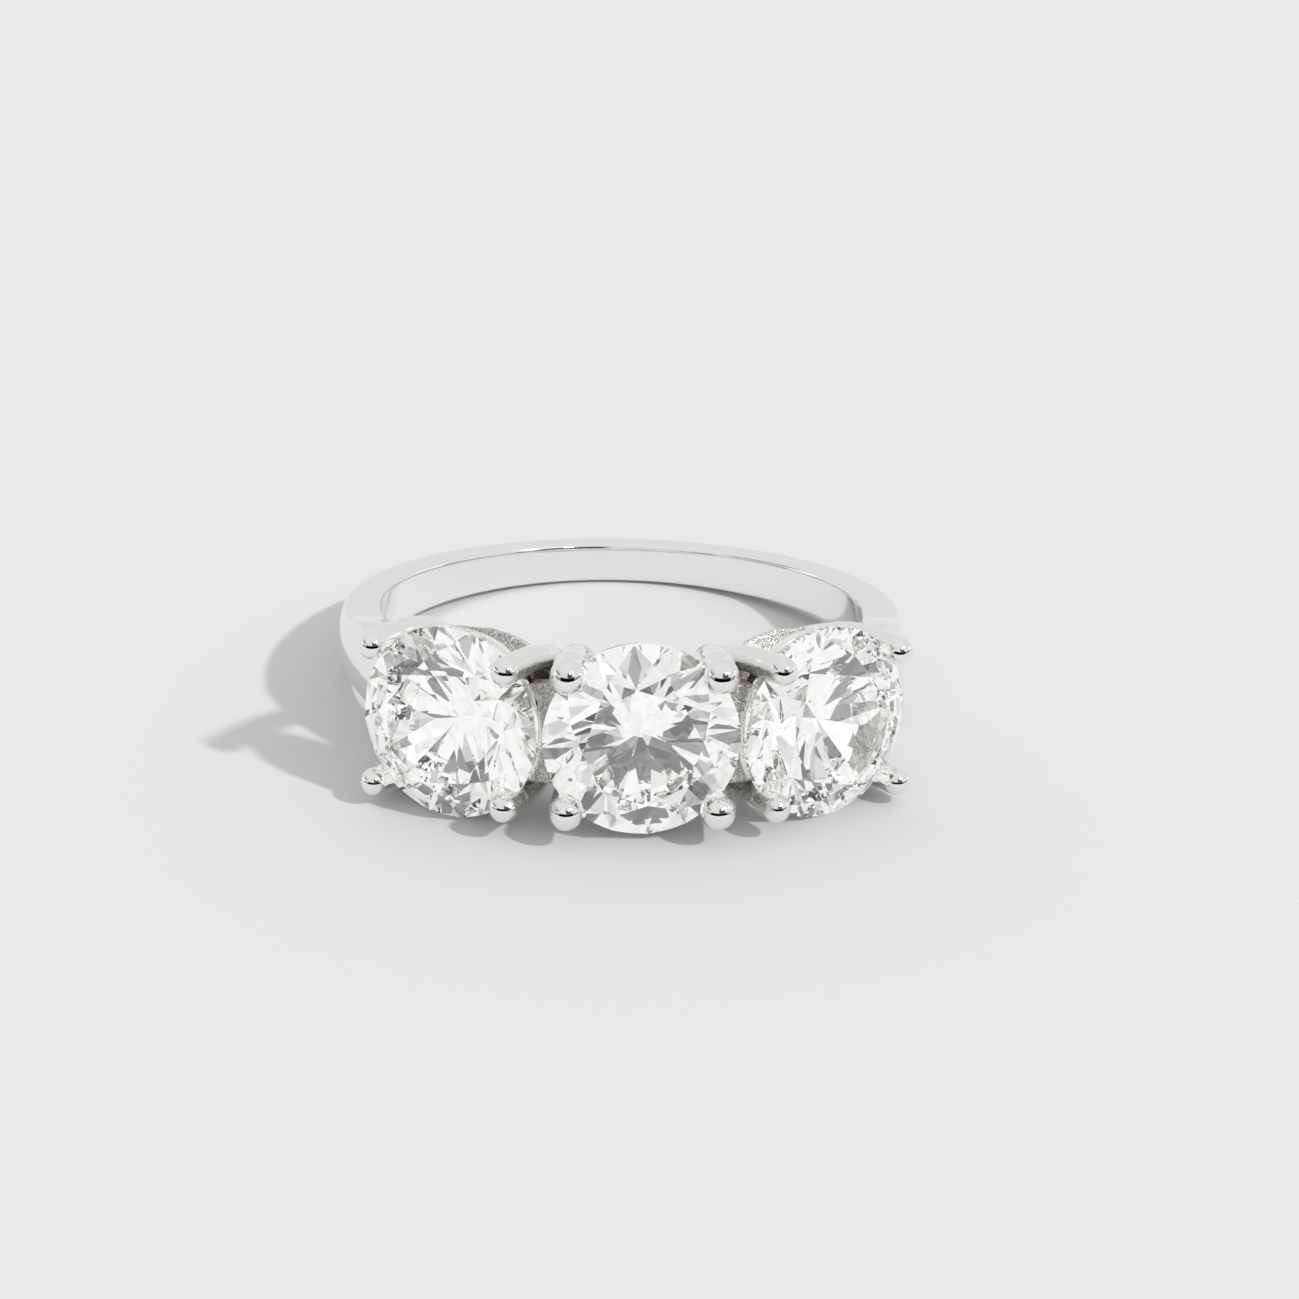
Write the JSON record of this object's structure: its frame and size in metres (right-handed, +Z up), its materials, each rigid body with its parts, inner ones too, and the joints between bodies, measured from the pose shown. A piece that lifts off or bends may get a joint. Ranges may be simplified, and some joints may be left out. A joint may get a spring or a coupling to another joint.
{
  "type": "three-stone cubic zirconia ring",
  "caption": "Ring with a tapered band and round brilliant stones, each held by claws on a common gallery, lying on its side.",
  "frame": {"origin": "on the resting plane, under the middle of the ring's box as it lies on its side", "axes": "+X from the left stone to the right stone, +Y from the stones to the back of the band, +Z up from the resting plane"},
  "size_m": [0.0194, 0.0222, 0.0067],
  "materials": {
    "polished_metal": "polished",
    "clear_stone": "clear, cut in facets"
  },
  "bodies": {
    "root": {"ring_mount": "polished_metal", "centre_stone": "clear_stone", "left_stone": "clear_stone", "right_stone": "clear_stone"}
  },
  "joints": []
}
